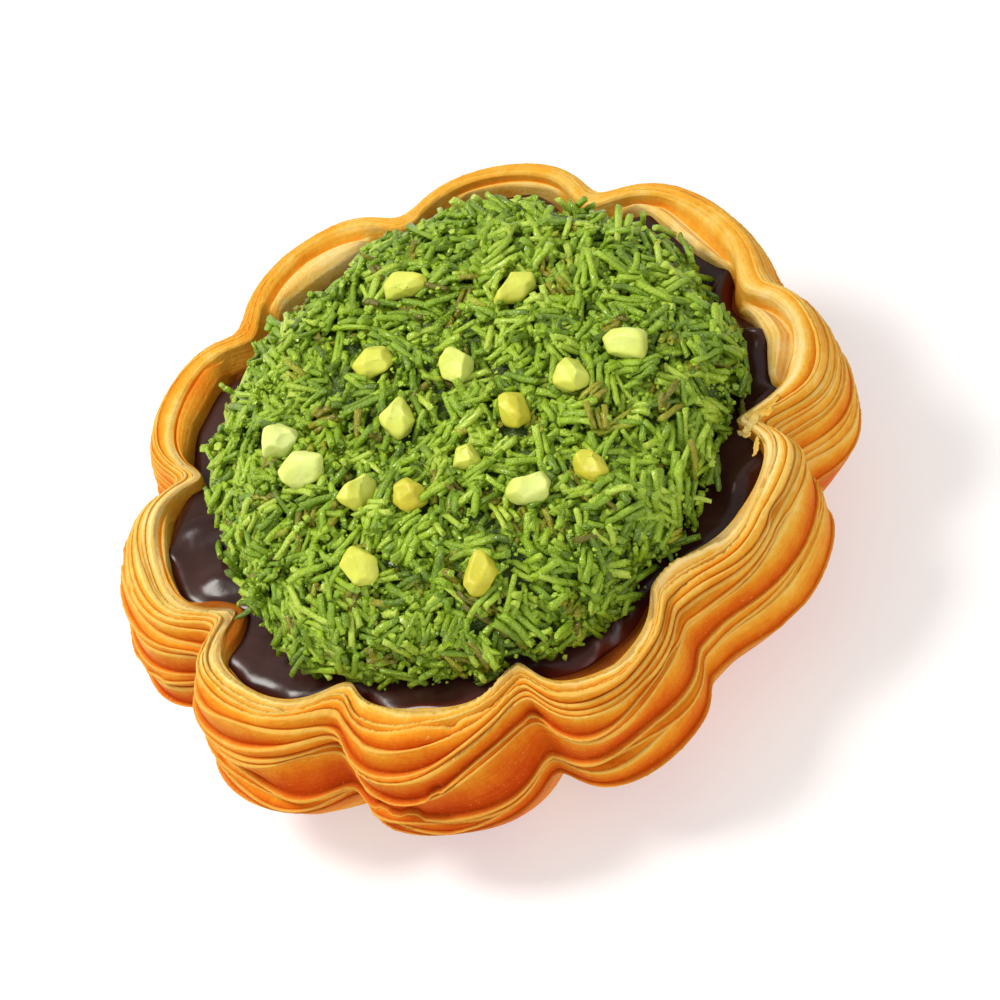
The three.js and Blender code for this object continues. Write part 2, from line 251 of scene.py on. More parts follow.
def petalBlend(degrees, values):
    starts = np.array(plan["pinchAngles"] + (360,), float)
    middles = (starts[:-1] + starts[1:]) / 2
    return np.interp(np.mod(degrees, 360), middles, values, period=360)


def apart(degrees, middle):
    return np.mod(degrees - middle + 180, 360) - 180


def leaned(degrees, radius, height, slip=0):
    share = np.maximum(0, (height - plan["lowLeaf"]) / (plan["crest"] - plan["lowLeaf"]))
    turn = np.radians(degrees)
    x = plan["lean"][0] * share + radius * np.cos(turn) - slip * np.sin(turn)
    y = plan["lean"][1] * share + radius * np.sin(turn) + slip * np.cos(turn)
    return np.stack([x, y, height], 1) * mm


def waves(degrees, seed, low, high):
    chance = random.Random(seed)
    total = np.zeros_like(np.asarray(degrees, float))
    power = 0
    for count in range(low, high + 1):
        strength = chance.uniform(0.5, 1)
        total = total + strength * np.cos(np.radians(degrees) * count + chance.uniform(0, 2 * math.pi))
        power += strength**2 / 2
    return total / math.sqrt(power)


def eased(value, low, high):
    share = np.clip((value - low) / (high - low), 0, 1)
    return share * share * (3 - 2 * share)


def finished(name, shape, material, marks=None, places=None):
    mesh = bpy.data.meshes.new(name)
    shape.to_mesh(mesh)
    if places is not None:
        mesh.vertices.foreach_set("co", np.ascontiguousarray(places, np.float32).ravel())
    for key, values in (marks or {}).items():
        layer = mesh.attributes.new(key, "FLOAT", "POINT")
        layer.data.foreach_set("value", np.ascontiguousarray(values, np.float32))
    shape.clear()
    shape.from_mesh(mesh)
    bmesh.ops.remove_doubles(shape, verts=shape.verts, dist=1e-7)
    bmesh.ops.recalc_face_normals(shape, faces=shape.faces)
    shape.to_mesh(mesh)
    shape.free()
    mesh.shade_smooth()
    mesh.materials.append(material)
    piece = bpy.data.objects.new(name, mesh)
    bpy.context.collection.objects.link(piece)
    return piece


def settled(piece, slot, *nodes):
    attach(piece, "root")
    if nodes:
        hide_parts(*nodes)
    print(piece.name, len(piece.data.polygons), "faces")
    return piece


# a sheet of rows wrapped round the middle, with each point's direction and row; finished() sews its seam
def wrappedRows(rows, steps, closed=False):
    shape = bmesh.new()
    bmesh.ops.create_grid(shape, x_segments=steps, y_segments=rows - 1 + closed, size=0.5)
    spots = np.array([vert.co[:] for vert in shape.verts])
    degrees = np.mod(np.rint((spots[:, 0] + 0.5) * steps), steps) * 360 / steps
    row = np.rint((spots[:, 1] + 0.5) * (rows - 1 + closed)).astype(int)
    return shape, degrees, row % rows if closed else row


# crust material: pale torn edges, golden leaves, and deep orange painted shade where a face lies low and in
# the creases
def crustMaterial():
    material, wire, shader = newMaterial("bakedPastry")
    edge = mark(wire, "edge")
    crease = mark(wire, "crease")
    film = mark(wire, "film")
    cloud = grain(wire, 5, 3)
    fleck = grain(wire, 0.7, 4, 0.65, 2)
    fine = grain(wire, 0.3, 3, 0.6, 5)
    spot = wire.add("ShaderNodeSeparateXYZ", None, {0: wire.add("ShaderNodeTexCoord", out=3)})
    ahead = Wire(wire.tree, spot.socket.node.outputs[1])
    flow = wire.add("ShaderNodeCombineXYZ", None, {0: spot * 160, 1: ahead * 160, 2: mark(wire, "upMm") * 4})
    streak = wire.add("ShaderNodeTexNoise", None, {"Vector": flow, "Scale": 1, "Detail": 4, "Roughness": 0.6})
    # the bake mark is browning plus painted shade; the noises add random tone
    browningAndShade = mark(wire, "bake") + (cloud - 0.5) * 0.5 + (fleck - 0.5) * 0.22 + (streak - 0.5) * 0.24
    face = browningAndShade.ramp(
        (0.0, rgb(240, 212, 146)),
        (0.1, rgb(234, 194, 104)),
        (0.22, rgb(228, 168, 58)),
        (0.4, rgb(220, 136, 30)),
        (0.6, rgb(208, 100, 18)),
        (0.8, rgb(194, 72, 12)),
        (1.0, rgb(174, 50, 10)),
    )
    lipTone = browningAndShade.ramp((0.1, rgb(224, 184, 92)), (0.5, rgb(222, 166, 70)), (0.9, rgb(216, 134, 42)))
    colour = (edge * 0.9).mix(face, lipTone)
    # painted shade: the creases between leaves are mixed towards deep red-orange
    colour = (crease * 0.45).mix(colour, rgb(190, 74, 10))
    colour = (fine.spread(0.62, 0.78) * 0.45).mix(colour, rgb(246, 214, 130))
    colour = film.mix(colour, rgb(104, 36, 14))
    wire.feed(shader.inputs["Base Color"], colour)
    wire.feed(shader.inputs["Roughness"], (0.5 + (fleck - 0.5) * 0.3 - film * 0.25).spread(0, 1))
    setSockets(shader, {"Specular IOR Level": 0.04, "Specular Tint": (1, 0.7, 0.35, 1)})
    setSockets(shader, {"Subsurface Weight": 0.22, "Subsurface Radius": (1, 0.36, 0.08)})
    setSockets(shader, {"Subsurface Scale": 0.8 * mm})
    bumped(wire, shader, fleck * 0.6 + fine * 0.45 + streak * 0.5, 0.14)
    return material


# crust: leaves from the low one to the innermost, as rows up the wall and over the crest
crustSettings = {
    "columns": 1000,
    "leaves": 12,
    # radius in mm at the pinches and at the petals
    "low": (36.1, 39.6),
    "crest": (32.2, 36.8),
    "rim": (29.8, 34),
    "foot": (26.6, 29),
    "wallFlare": 1.3,
    "upCurve": 0.8,
    "outCurve": 0.6,
    "archWidth": 6,
    "edge": 0.36,
    "recess": 0.68,
    "sway": 0.3,
    "ragged": 0.045,
    "uneven": 0.26,
    "chips": 6,
    "innerRows": 26,
    "grooveRows": 7,
    "innerFoot": 18.7,
    "innerSill": 20.5,
    "innerRidges": 5,
    "stain": (18.9, 19.6),  # heights between which the chocolate's stain fades out
    # petal by petal
    "near": (0, 0, 0, 0.45, 0.95, 0.95, 0.85, 0, 0.95, 0.15),  # how far the leaves reach in
    "relief": (0.07, 0.06, 0.07, 0.25, 0.7, 1, 1, 1, 0.95, 0.3),  # of the upper leaves
    "lowRelief": (0.6, 0.6, 0.6, 0.6, 0.7, 1, 1, 0.95, 0.5, 0.45),
    "film": (0.05, 0.05, 0.05, 0.1, 0.15, 0.35, 0.5, 0.9, 0.2, 0.1),  # chocolate on the inner side
    "darker": (0.0, 0.06, 0.06, 0.06, -0.03, 0.04, 0.13, 0.05, -0.07, -0.12),  # how much more baked
    "golden": (0, 0, 0, 0, 0, 0.1, 0, 0.22, 0.2, 0.2),  # how much less baked the low leaves are
    # gaps between the leaves from the low one upwards, petal by petal, as shares
    "gaps": (
        (2.0, 1.0, 1.2, 2.0, 0.7, 1.4, 0.8, 1.2, 1.0, 0.7, 1.4),
        (1.8, 0.9, 1.4, 1.8, 0.8, 1.6, 0.7, 1.2, 1.2, 0.6, 1.4),
        (2.2, 0.8, 1.0, 2.2, 0.6, 1.2, 1.0, 1.4, 0.9, 0.7, 1.4),
        (1.8, 1.0, 0.9, 1.6, 0.7, 1.0, 0.8, 1.0, 0.8, 0.7, 1.4),
        (2.8, 0.8, 1.0, 2.4, 0.6, 1.2, 1.6, 0.8, 1.4, 0.8, 1.4),
        (2.8, 0.9, 0.8, 3.8, 0.6, 0.9, 1.8, 1.7, 1.1, 0.6, 1.3),
        (1.1, 0.8, 1.0, 4.6, 0.5, 3.2, 0.5, 2.4, 2.0, 0.6, 1.6),
        (3.4, 0.5, 0.7, 4.2, 0.6, 1.4, 0.8, 0.9, 1.3, 0.6, 1.7),
        (4.8, 0.6, 0.8, 4.0, 0.6, 1.2, 1.1, 1.3, 1.3, 0.6, 1.5),
        (2.0, 1.0, 0.8, 3.0, 0.6, 1.5, 0.6, 1.3, 1.5, 0.6, 2.4),
    ),
}

# inner leaves: from, to, radius of the inner side at from, middle and to, width, top,
# where the top lies in the width, how baked, how much chocolate on them, height of the groove behind them
innerLeaves = (
    (336, 360, (32.0, 33.4, 32.8), 2.9, 20.9, 0.5, 0.16, 0, 19.75),
    (5, 38, (31.4, 33.0, 34.8), 1.8, 21.1, 0.5, 0.1, 0, 20.3),
    (46, 71, (34.4, 35.5, 35.6), 1.0, 21.1, 0.5, 0.06, 0, 21.0),
    (84, 110, (32.2, 32.8, 32.4), 3.0, 21.8, 0.4, 0, 0, 21.2),
    (120, 150, (32.4, 33.5, 31.8), 3.8, 21.8, 0.1, 0.3, 0, 21.1),
    (153, 181, (33.6, 34.4, 33.4), 1.2, 21.3, 0.35, 0.16, 0, 20.9),
    (176, 193, (29.8, 28.6, 29.6), 2.4, 21.0, 0.3, 0.45, 0.65, 21.0),
    (191, 215, (33.4, 34.7, 33.6), 1.2, 20.7, 0.2, 0.2, 0, 20.2),
)


def leafTables():
    setting = crustSettings
    count = setting["leaves"]
    degrees = np.linspace(0, 360, 3601)
    bend = np.linspace(0, math.pi / 2, 900)
    height = (plan["crest"] - plan["lowLeaf"]) * np.sin(bend) ** setting["upCurve"]
    inward = setting["archWidth"] * (1 - np.cos(bend) ** setting["outCurve"])
    arc = np.concatenate([[0], np.cumsum(np.hypot(np.diff(inward), np.diff(height)))])
    gaps = []
    for gap in range(count - 1):
        share = petalBlend(degrees, [petal[gap] for petal in setting["gaps"]])
        gaps.append(share * np.exp(setting["uneven"] * waves(degrees, 40 + gap, 1, 12)))
    stacked = np.cumsum(np.stack([np.zeros_like(degrees)] + gaps), 0)
    chance = np.random.default_rng(17)
    sways = []
    for leaf in range(count):
        sway = setting["sway"] * waves(degrees, 80 + leaf, 3, 16)
        for _ in range(setting["chips"]):
            off = apart(degrees, chance.uniform(0, 360))
            sway = sway - chance.uniform(0.2, 0.6) * np.exp(-((off / chance.uniform(0.7, 3)) ** 4))
        sways.append(sway)
    blur = [0.1, 0.2, 0.4, 0.2, 0.1]
    torn = [1.8 * np.convolve(chance.normal(0, 1, len(degrees)), blur, "same") for _ in range(count)]
    tables = {"degrees": degrees, "lips": stacked / stacked[-1], "sways": sways, "torn": torn}
    return {**tables, "arc": arc / arc[-1], "bend": bend}


# a point of the outer form, by direction and by the share of the way from low leaf to inner end
def outerForm(tables, degrees, along):
    setting = crustSettings
    bend = np.interp(along, tables["arc"], tables["bend"])
    high = eased(along, 0, 0.7)
    low = petalRadius(degrees, *setting["low"], high=high)
    near = petalBlend(degrees, setting["near"])
    crest = petalRadius(degrees, *setting["crest"], high=high) - 0.3
    inner = petalRadius(degrees, *setting["rim"], "chocolateReach", high) + 0.7
    end = crest + (np.minimum(inner, crest) - crest) * near
    radius = end + (low - end) * np.cos(bend) ** setting["outCurve"]
    height = plan["lowLeaf"] + (plan["crest"] - plan["lowLeaf"]) * np.sin(bend) ** setting["upCurve"]
    height = height - 0.7 * near * eased(along, 0.75, 1.05)
    return radius, height, 10.6 + 0.83 * (low - end)


def outerFacing(tables, degrees, along):
    before = outerForm(tables, degrees, np.clip(along - 0.006, 0, 0.988))
    after = outerForm(tables, degrees, np.clip(along + 0.006, 0.012, 1))
    inward = before[0] - after[0]
    rise = after[1] - before[1]
    size = np.hypot(inward, rise)
    return rise / size, inward / size


# parts of a leaf from its crease up to the inside of its edge: share of the gap,
# share of the edge's thickness, depth below a wide gap and below a narrow one, then edge mark and painted
# crease shade
leafParts = (
    (0.00, 0.00, 1.05, 0.90, 0.0, 1.0),
    (0.07, 0.00, 0.97, 0.64, 0.0, 0.6),
    (0.18, 0.00, 0.84, 0.46, 0.0, 0.2),
    (0.36, -0.10, 0.64, 0.24, 0.0, 0.0),
    (0.60, -0.30, 0.38, 0.09, 0.0, 0.0),
    (0.86, -0.80, 0.18, 0.02, 0.0, 0.0),
    (1.00, -1.10, 0.08, 0.00, 0.1, 0.0),
    (1.00, -0.80, 0.00, 0.00, 1.0, 0.0),
    (1.00, -0.08, 0.04, 0.06, 1.0, 0.0),
    (1.00, 0.00, 0.55, 0.50, 0.3, 0.6),
)
crustMarks = ("edge", "crease", "bake", "film", "upMm")


def leafRow(tables, angle, leaf, part):
    setting = crustSettings
    rise, thick, wideDepth, narrowDepth, edge, crease = leafParts[part]

    def at(table):
        return np.interp(angle, tables["degrees"], table)

    length = outerForm(tables, angle, np.zeros(len(angle)))[2]
    top = at(tables["lips"][leaf])
    below = at(tables["lips"][leaf - 1]) if leaf else top - 0.08
    gap = np.maximum(top - below, 0.001) * length
    thickness = setting["edge"] * (1 + 0.35 * waves(angle, 120 + leaf, 3, 20))
    thickness = np.clip(thickness * (0.8 + 0.5 * eased(top, 0.6, 0.95)), 0.12, gap * 0.5)
    along = below + (gap * rise + thickness * thick) / length
    radius, height, _ = outerForm(tables, angle, along)
    out, up = outerFacing(tables, angle, along)
    low = petalBlend(angle, setting["lowRelief"])
    relief = low + (petalBlend(angle, setting["relief"]) - low) * eased(along, 0.35, 0.65)
    wide = eased(gap, 1.3, 2.6)
    depth = narrowDepth + (wideDepth - narrowDepth) * wide
    deep = setting["recess"] * np.clip(0.25 + 0.4 * gap, 0.25, 1.1) * relief * depth
    swayBelow = at(tables["sways"][leaf - 1]) if leaf else at(tables["sways"][leaf])
    moved = (swayBelow + (at(tables["sways"][leaf]) - swayBelow) * rise) * relief
    torn = setting["ragged"] * at(tables["torn"][leaf]) * edge * (0.4 + 0.6 * relief)
    radius = radius + (moved - deep + torn) * out
    height = height + (moved - deep + torn) * up + torn * 0.5
    # painted shade: the low part of each leaf face is made deeper orange, more so below a wide gap; the lower
    # leaves are also more browned
    bake = 0.5 - 0.36 * along - 0.2 * eased(along, 0.75, 1) + (1 - rise) * (0.22 + 0.2 * wide)
    bake = bake + petalBlend(angle, setting["darker"])
    bake = bake - petalBlend(angle, setting["golden"]) * (1 - eased(along, 0.1, 0.4))
    bake = bake + (0.32 - 0.08 * along - bake) * 0.85 * (1 - eased(relief, 0.1, 0.5))
    edge = edge * (0.15 + 0.85 * eased(relief, 0.05, 0.8))
    return radius, height, edge, crease * relief, bake, 0, along * length


# the inner side, from the crest down to the chocolate, with the inner leaves standing before it
def insideRow(tables, angle, number):
    setting = crustSettings
    grooveRows = setting["grooveRows"]
    share = number / (setting["innerRows"] - 1)
    rim = petalRadius(angle, *setting["rim"], "chocolateReach", 1) + 0.25
    crest, top, _ = outerForm(tables, angle, np.ones(len(angle)))
    crest = crest - 0.3
    rim = np.minimum(rim, crest - 0.3)
    radius = crest + (rim - crest) * share**1.5
    height = top + (setting["innerFoot"] - top) * (0.04 + 0.96 * share)
    # browning and painted shade: deeper orange further down the inner side, towards the chocolate
    bake = 0.2 + 0.22 * share
    edge = np.zeros(len(angle))
    coated = np.zeros(len(angle))
    for start, end, inner, width, peak, lean, baked, film, groove in innerLeaves:
        middle = (start + end) / 2
        off = apart(angle, middle) / ((end - start) / 2)
        grown = np.maximum(0, 1 - np.abs(off) ** 2)
        reach = np.interp(off, (-1, 0, 1), inner)
        side = reach + (rim - reach) * (1 - grown)
        outer = np.minimum(side + width * grown, crest - 0.25)
        if number < grooveRows:
            step = number / (grooveRows - 1)
            leafRadius = crest + (outer + 0.15 - crest) * step**0.8
            leafHeight = top + (groove - top) * eased(step, -0.15, 1.05)
            # painted shade: deeper orange down into the groove behind the inner leaf
            leafBakeAndShade = 0.18 + 0.2 * step
            leafEdge = 0
        else:
            step = (number - grooveRows) / (setting["innerRows"] - grooveRows - 1)
            ridge = step * setting["innerRidges"] * 2 * math.pi
            lines = 0.09 * lean * (1 - film) * math.cos(ridge) * math.sin(math.pi * step)
            bulge = eased(step, -0.02, lean) if step < lean else 1 - ((step - lean) / (1 - lean)) ** 2.2
            leafRadius = outer + (side - outer) * step
            base = groove if step < lean else setting["innerSill"]
            leafHeight = base + (peak - base) * bulge + lines - (1.8 * eased(step, 0.88, 1))
            leafBakeAndShade = baked + 0.06 * math.cos(ridge + 2)
            leafEdge = 0.4 * lean * (1 + math.cos(ridge))
        mixed = eased(grown, 0, 0.6)
        radius = radius + (leafRadius - radius) * mixed
        height = height + (leafHeight - height) * mixed
        bake = bake + (leafBakeAndShade + petalBlend(angle, setting["darker"]) - bake) * mixed
        edge = edge + (leafEdge * (1 - film) - edge) * mixed
        coated = np.maximum(coated, film * mixed)
    film = petalBlend(angle, setting["film"]) * eased(share, 0.05, 0.6) * (1 - eased(edge, 0, 0.2))
    stain = 0.75 * (1 - eased(height, *setting["stain"]))
    film = np.maximum(np.maximum(film, coated), stain)
    return radius, height, edge, 0, bake, film, 17 + 3 * share


def crustPlaces(tables, rows, degrees, row):
    setting = crustSettings
    places = np.zeros((len(row), 3))
    marks = {key: np.zeros(len(row)) for key in crustMarks}
    for number, (kind, *values) in enumerate(rows):
        here = np.nonzero(row == number)[0]
        angle = degrees[here]
        edge = crease = film = 0
        upward = number * 0.4
        high = 0.5
        if kind == "foot":
            share, height = values
            span = zip(setting["foot"], setting["low"])
            radius = petalRadius(angle, *(low + (top - low) * share for low, top in span))
            bake = 0.6 + 0.1 * waves(angle, 31, 4, 12)
        elif kind == "leaf":
            radius, height, edge, crease, bake, film, upward = leafRow(tables, angle, *values)
            high = eased(upward, 2, 12)
        elif kind == "inside":
            radius, height, edge, crease, bake, film, upward = insideRow(tables, angle, *values)
            high = 1
        else:
            share, height = values
            radius = petalRadius(angle, *setting["rim"], "chocolateReach", 1) * share
            bake = 0.8
        places[here] = leaned(angle, radius, height + 0 * angle, petalTuck(angle, high))
        for key, value in zip(crustMarks, (edge, crease, bake, film, upward)):
            marks[key][here] = value
    return places, marks


def makeCrust(material):
    setting = crustSettings
    tables = leafTables()
    parts = range(len(leafParts))
    third = setting["leaves"] // 3

    def leaves(first, last):
        return [("leaf", leaf, part) for leaf in range(first, last) for part in parts]

    lower = [("inner", 0.0, 0), ("foot", -0.03, 0), ("foot", 0.0, 0.25)]
    for step in (0.08, 0.2, 0.35, 0.5, 0.65, 0.78, 0.88):
        lower.append(("foot", step, plan["lowLeaf"] * step ** setting["wallFlare"]))
    lower += [("leaf", 0, part) for part in parts[4:]] + leaves(1, third + 1)
    lower += [("inner", 0.95, 12), ("inner", 0.0, 12)]
    middle = [("inner", 0.0, 11), ("inner", 0.98, 11)] + leaves(third + 1, 2 * third + 1)
    middle += [("inner", 0.95, 15), ("inner", 0.0, 15)]
    crown = [("inner", 0.0, 13), ("inner", 0.95, 13)] + leaves(2 * third + 1, 3 * third)
    crown += [("inside", number) for number in range(setting["innerRows"])]
    crown += [("inner", 0.9, 17.5), ("inner", 0.6, 16), ("inner", 0.0, 16)]
    for name, rows in (("crustFoot", lower), ("crustWall", middle), ("crustCrown", crown)):
        shape, degrees, row = wrappedRows(len(rows), setting["columns"])
        places, marks = crustPlaces(tables, rows, degrees, row)
        settled(finished(name, shape, material, marks, places), "crust", "pastry_crust")


# flakes: loose torn bits of leaf, on the crest and low on a near petal
flakeSettings = {
    "thickness": 0.1,
    # direction, radius, height, length, width, way along the plan, slope, curl, how baked
    "bits": (
        (329.5, 32.4, 21.65, 3.0, 1.0, 335, 6, 0.5, 0.1),
        (327.5, 31.6, 21.6, 2.4, 0.9, 25, 16, 0.6, 0.06),
        (325.5, 31.0, 21.4, 2.2, 0.8, 290, 20, 0.5, 0.04),
        (322.5, 32.6, 21.6, 3.0, 0.5, 238, 8, 0.4, 0.1),
        (331.5, 33.6, 21.6, 2.4, 0.5, 20, 4, 0.4, 0.14),
        (274.5, 38.6, 12.4, 2.2, 0.9, 200, 10, 0.6, 0.75),
        (275.5, 38.4, 12.9, 1.6, 0.8, 150, -30, 0.6, 0.6),
    ),
}


def makeFlakes(material):
    shape = bmesh.new()
    bakes = []
    edges = []
    for number, bit in enumerate(flakeSettings["bits"]):
        degrees, radius, height, length, width, way, slope, curl, baked = bit
        grid = bmesh.ops.create_grid(shape, x_segments=24, y_segments=8, size=0.5)["verts"]
        for vert in grid:
            along = vert.co.x
            aside = vert.co.y
            torn = 0.6 * noise.noise(Vector((along * 5, number * 3.7, aside)))
            torn = torn + 0.5 * noise.noise(Vector((along * 13, number, aside)))
            taper = 1 - 0.8 * (2 * along) ** 4
            lift = curl * (2 * along) ** 2 * 0.4 + 0.5 * curl * (2 * aside) ** 2 * width * 0.4
            lift = lift + 0.16 * noise.noise(Vector((along * 4, aside * 2, number * 1.9)))
            vert.co = Vector((along * length, (aside * taper + torn * abs(aside)) * width, lift)) * mm
            edges.append(0.25 + 0.75 * abs(2 * aside) ** 3)
            bakes.append(baked)
        turn = math.radians(degrees)
        across, ahead = plan["lean"]
        spot = Vector((across + radius * math.cos(turn), ahead + radius * math.sin(turn), height)) * mm
        place = Matrix.Translation(spot) @ Matrix.Rotation(math.radians(way), 4, "Z")
        bmesh.ops.transform(shape, verts=grid, matrix=place @ Matrix.Rotation(math.radians(-slope), 4, "Y"))
    count = len(shape.verts)
    bmesh.ops.solidify(shape, geom=shape.faces, thickness=flakeSettings["thickness"] * mm)
    sheets = len(shape.verts) // count
    blank = [0] * (count * sheets)
    marks = {"edge": edges * sheets, "crease": blank, "bake": bakes * sheets, "film": blank, "upMm": blank}
    return settled(finished("tornFlakes", shape, material, marks), "crust", "pastry_crust")


# chocolate: a thick pool with a rounded, wavy edge and a few drips up the leaves
chocolateSettings = {
    "columns": 480,
    "level": 19.75,
    "edge": (29.8, 34),
    "over": 0.35,
    "droop": 1.35,
    "round": 2.0,
    "waver": 0.16,
    "lift": 0.22,
    "underside": 15.6,
    "skirt": 1.6,
    "insets": (0.0, 0.12, 0.35, 0.7, 1.2, 1.8, 2.5, 3.4, 4.6, 6.2, 8.5, 12),
    # direction, spread in degrees, inset and its spread, height of a swell
    "swells": (
        (317, 4, 2.2, 1.8, 0.85),
        (273, 1.7, 1.0, 0.8, 0.8),
        (278.5, 1.7, 1.5, 0.8, 0.8),
        (237, 12, 0, 1.0, 1.25),
        (162, 13, 0.5, 1.6, 0.9),
        (158.5, 3.6, 3.6, 1.9, 0.8),
        (173, 3.6, 5.0, 1.8, 0.8),
        (208, 3, 2.2, 1.6, 0.25),
        (335, 2.4, 0.9, 1.0, 0.9),
        (351.5, 2.6, 0.9, 1.1, 1.1),
        (4.5, 3, 1.0, 1.2, 1.1),
        (32, 4, 1.4, 1.6, 0.9),
        (58, 8, 1.6, 2.0, 0.9),
    ),
    # direction, spread in degrees, how far the drip runs out
    "drips": (
        (338, 1.5, 1.3),
        (350, 2, 1.0),
        (9, 2.0, 1.2),
        (322, 1.6, 0.9),
        (329, 4, 1.3),
        (191, 2.5, 1.0),
        (163, 1.5, 0.6),
        (148, 4, 1.2),
        (116, 4, 1.0),
        (30, 2, 0.7),
    ),
}


def chocolateMaterial():
    material, wire, shader = newMaterial("darkChocolate")
    cloud = grain(wire, 7, 3, 0.5, 3)
    fine = grain(wire, 0.8, 3, 0.5, 4)
    thin = mark(wire, "thin")
    colour = cloud.ramp((0.35, rgb(46, 22, 17)), (0.65, rgb(64, 34, 27)))
    colour = thin.mix(colour, rgb(92, 24, 14))
    wire.feed(shader.inputs["Base Color"], colour)
    wire.feed(shader.inputs["Roughness"], 0.16 + cloud * 0.15)
    setSockets(shader, {"Specular IOR Level": 0.32})
    bumped(wire, shader, cloud + fine * 0.04, 0.25)
    return material


def makeChocolate(material):
    setting = chocolateSettings
    insets = setting["insets"]
    level = setting["level"]
    under = setting["underside"]
    # the way back under the pool: radius as a share of the edge, height
    closing = ((0, level), (0, under), (0.96, under), (0.985, level - setting["skirt"]))
    shape, degrees, row = wrappedRows(len(insets) + len(closing), setting["columns"], closed=True)
    edge = petalRadius(degrees, *setting["edge"], "chocolateReach", 1) + setting["over"]
    edge = edge + setting["waver"] * waves(degrees, 61, 9, 40)
    lift = setting["lift"] * waves(degrees, 62, 4, 16)
    for middle, spread, reach in setting["drips"]:
        bump = np.exp(-((apart(degrees, middle) / spread) ** 2))
        edge = edge + reach * bump
        lift = lift + 0.5 * reach * bump
    places = np.zeros((len(row), 3))
    thin = np.zeros(len(row))
    for number in range(len(insets) + len(closing)):
        here = row == number
        if number < len(insets):
            inset = insets[number]
            fall = max(0, 1 - inset / setting["round"])
            height = level - setting["droop"] * fall**2 + lift[here] * math.exp(-inset / 1.4)
            for middle, spread, where, wide, rise in setting["swells"]:
                off = apart(degrees[here], middle) / spread
                height = height + rise * np.exp(-(off**2) - ((inset - where) / wide) ** 2)
            radius = edge[here] - inset
            thin[here] = 0.9 * max(0, min(1, 1.25 - inset / 0.8))
        else:
            inward, low = closing[number - len(insets)]
            height = low + 0 * edge[here]
            radius = edge[here] * inward
            thin[here] = 1 if number == len(insets) + len(closing) - 1 else 0
        places[here] = leaned(degrees[here], radius, height)
    piece = finished("chocolatePool", shape, material, {"thin": thin}, places)
    return settled(piece, "chocolate", "chocolate")


# heap: a dome with steep sides, in mm and degrees
heapSettings = {
    "radius": 29,
    "height": 12.3,
    "centre": (1.9, 0.8),
    "floor": 19.5,
    "fullness": 0.38,
    "undercut": 1.2,
    "undercutHeight": 3.5,
    "turn": 30,
    "oval": 0.043,
    "corners": 0.016,
    "sunk": 1.3,
    # direction, spread in degrees, how far the side stands out or in
    "bulges": (
        (342, 12, 1.7),
        (68, 11, 0.5),
        (45, 10, -0.9),
        (26, 13, -1.0),
        (138, 14, 0.6),
        (172, 14, -1.3),
        (2, 9, -1.2),
        (232, 10, -1.3),
        (272, 11, 0.9),
        (298, 8, 0.8),
    ),
    "coreRows": 46,
    "coreColumns": 220,
    "coreLumps": 0.55,
}


def heapPoint(turn, climb, sunk=0):
    setting = heapSettings
    up = np.asarray(climb) * math.pi / 2
    rise = (setting["height"] - sunk) * np.sin(up)
    undercut = setting["undercut"] * np.maximum(0, 1 - rise / setting["undercutHeight"]) ** 2
    turned = turn - math.radians(setting["turn"])
    uneven = 1 + setting["oval"] * np.cos(2 * turned) + setting["corners"] * np.cos(3 * turned)
    for middle, spread, reach in setting["bulges"]:
        off = apart(np.degrees(turn), middle) / spread
        uneven = uneven + reach / setting["radius"] * np.exp(-(off**2))
    radius = ((setting["radius"] - sunk) * np.cos(up) ** setting["fullness"] - undercut) * uneven
    x = setting["centre"][0] + radius * np.cos(turn)
    y = setting["centre"][1] + radius * np.sin(turn)
    return np.stack([x, y, setting["floor"] + rise], -1)


def shredMaterial(name, stops):
    material, wire, shader = newMaterial(name)
    cloud = grain(wire, 3.5, 2, 0.5, 6)
    fleck = grain(wire, 0.36, 3, 0.65, 7)
    place = wire.add("ShaderNodeTexCoord", out=3)
    beads = 1 - wire.add("ShaderNodeTexVoronoi", None, {"Vector": place, "Scale": 1 / (0.2 * mm)})
    shade = mark(wire, "tone") + (cloud - 0.5) * 0.35 + (fleck - 0.5) * 0.4 + (beads - 0.55) * 0.35
    wire.feed(shader.inputs["Base Color"], shade.ramp(*stops))
    wire.feed(shader.inputs["Roughness"], fleck.spread(0.38, 0.6, 0.36, 0.14))
    wire.feed(shader.inputs["Coat Weight"], fleck.spread(0.5, 0.62, 0, 0.7))
    setSockets(shader, {"Coat Roughness": 0.12, "Specular IOR Level": 0.5})
    setSockets(shader, {"Subsurface Weight": 0.1, "Subsurface Radius": (0.5, 0.8, 0.15)})
    setSockets(shader, {"Subsurface Scale": 0.5 * mm})
    bumped(wire, shader, fleck * 0.5 + beads * 0.4, 0.28)
    return material


def unit(vectors):
    return vectors / np.linalg.norm(vectors, axis=-1, keepdims=True)


def lumpy(spots, coarse, fine):
    points = [Vector(spot) for spot in spots]
    return np.array([noise.noise(point * coarse) + 0.5 * noise.noise(point * fine) for point in points])


# heap core: a lumpy dome under the shreds, coloured dark green as painted shade seen through the gaps between
# strands
def makeHeapCore(material):
    setting = heapSettings
    rows = setting["coreRows"]
    shape, degrees, row = wrappedRows(rows, setting["coreColumns"])
    spots = heapPoint(np.radians(degrees), np.clip((row - 1) / (rows - 2), 0, 1), setting["sunk"])
    bottom = row == 0
    spots[bottom] = (*setting["centre"], setting["floor"] - 0.2)
    spots[row == 1, 2] -= 0.2
    top = row == rows - 1
    spots[top, :2] = setting["centre"]
    lumps = lumpy(spots, 0.55, 1.3)
    out = unit(spots - np.array((*setting["centre"], 12)))
    spots = spots + out * (setting["coreLumps"] * lumps * ~bottom * ~top)[:, None]
    marks = {"tone": 0.1 + 0.2 * lumps}
    return settled(finished("heapCore", shape, material, marks, spots * mm), "shreds", "shredded_pastry")


